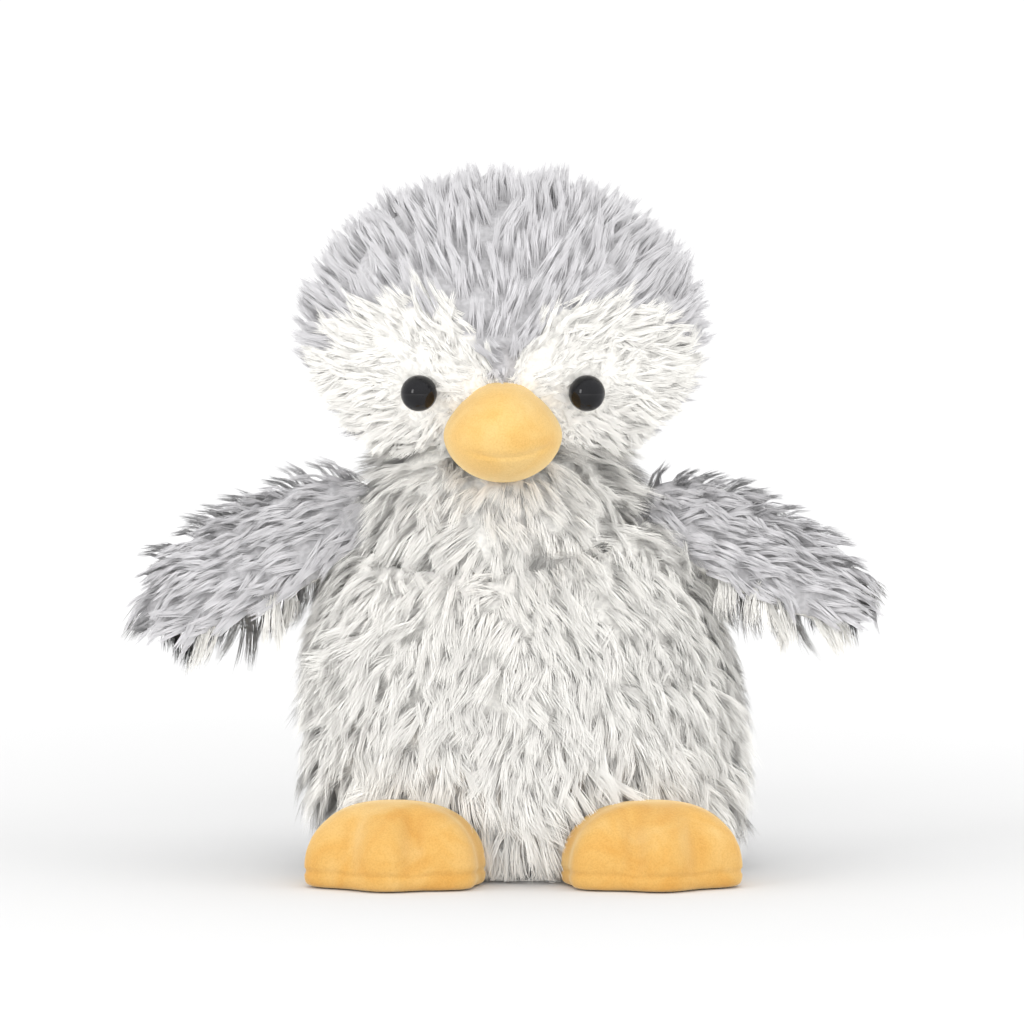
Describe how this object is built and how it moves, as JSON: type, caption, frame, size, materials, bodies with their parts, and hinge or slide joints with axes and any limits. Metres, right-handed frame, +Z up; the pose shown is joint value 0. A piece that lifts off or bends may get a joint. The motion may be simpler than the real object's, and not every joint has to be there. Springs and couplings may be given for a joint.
{
  "type": "plush penguin",
  "caption": "Small long-pile plush penguin chick that stands on its base, with bending wings and feet and a head that nods and turns.",
  "frame": {"origin": "on the surface the toy stands on, below the middle of its outline", "axes": "+Z up, -Y the way the toy faces, +X to the viewer's right when the toy faces the viewer"},
  "size_m": [0.1589, 0.0955, 0.153],
  "materials": {
    "white_plush": "matte",
    "grey_plush": "matte",
    "beak_velour": "matte",
    "foot_velour": "matte",
    "fibre_fill": "matte",
    "pouch_cloth": "matte",
    "pellets": "satin",
    "thread": "satin",
    "eye_plastic": "gloss",
    "washer_plastic": "satin"
  },
  "bodies": {
    "torso": {"belly_panel": "white_plush", "back_panel_left": "grey_plush", "back_panel_right": "grey_plush", "base_panel": "white_plush", "closing_stitches": "thread", "body_stuffing": "fibre_fill", "bean_pouch": "pouch_cloth", "bean_fill": "pellets", "left_shoulder_seam": "grey_plush", "right_shoulder_seam": "grey_plush", "left_ankle_seam": "foot_velour", "right_ankle_seam": "foot_velour"},
    "neck": {"neck_panel": "white_plush", "neck_stuffing": "fibre_fill"},
    "head": {"crown_panel": "grey_plush", "left_cheek_panel": "white_plush", "right_cheek_panel": "white_plush", "head_stuffing": "fibre_fill", "left_eye": "eye_plastic", "right_eye": "eye_plastic", "left_eye_washer": "washer_plastic", "right_eye_washer": "washer_plastic", "beak_upper_panel": "beak_velour", "beak_lower_panel": "beak_velour", "beak_stuffing": "fibre_fill"},
    "left_wing": {"left_wing_top_panel": "grey_plush", "left_wing_under_panel": "white_plush", "left_wing_stuffing": "fibre_fill"},
    "right_wing": {"right_wing_top_panel": "grey_plush", "right_wing_under_panel": "white_plush", "right_wing_stuffing": "fibre_fill"},
    "left_foot": {"left_foot_upper": "foot_velour", "left_foot_sole": "foot_velour", "left_foot_stuffing": "fibre_fill"},
    "right_foot": {"right_foot_upper": "foot_velour", "right_foot_sole": "foot_velour", "right_foot_stuffing": "fibre_fill"}
  },
  "joints": [
    {"name": "head_turn", "type": "hinge", "parent": "torso", "child": "neck", "pos_m": [0, 0.0075, 0.074], "axis": [0, 0, 1], "range_deg": [-35, 35], "stiffness_Nm_per_rad": 0.15},
    {"name": "head_nod", "type": "hinge", "parent": "neck", "child": "head", "pos_m": [0, 0.0075, 0.074], "axis": [1, 0, 0], "range_deg": [-12, 12], "stiffness_Nm_per_rad": 0.8},
    {"name": "left_wing_flap", "type": "hinge", "parent": "torso", "child": "left_wing", "pos_m": [-0.03115, 0.0055, 0.0813], "axis": [0, 1, 0], "range_deg": [-8, 45], "stiffness_Nm_per_rad": 0.06},
    {"name": "right_wing_flap", "type": "hinge", "parent": "torso", "child": "right_wing", "pos_m": [0.03485, 0.0055, 0.0813], "axis": [0, -1, 0], "range_deg": [-8, 45], "stiffness_Nm_per_rad": 0.06},
    {"name": "left_foot_bend", "type": "hinge", "parent": "torso", "child": "left_foot", "pos_m": [-0.0235, -0.0185, 0.003], "axis": [-1, 0, 0], "range_deg": [-30, 14], "stiffness_Nm_per_rad": 0.08},
    {"name": "right_foot_bend", "type": "hinge", "parent": "torso", "child": "right_foot", "pos_m": [0.0325, -0.0185, 0.003], "axis": [-1, 0, 0], "range_deg": [-30, 14], "stiffness_Nm_per_rad": 0.08}
  ]
}
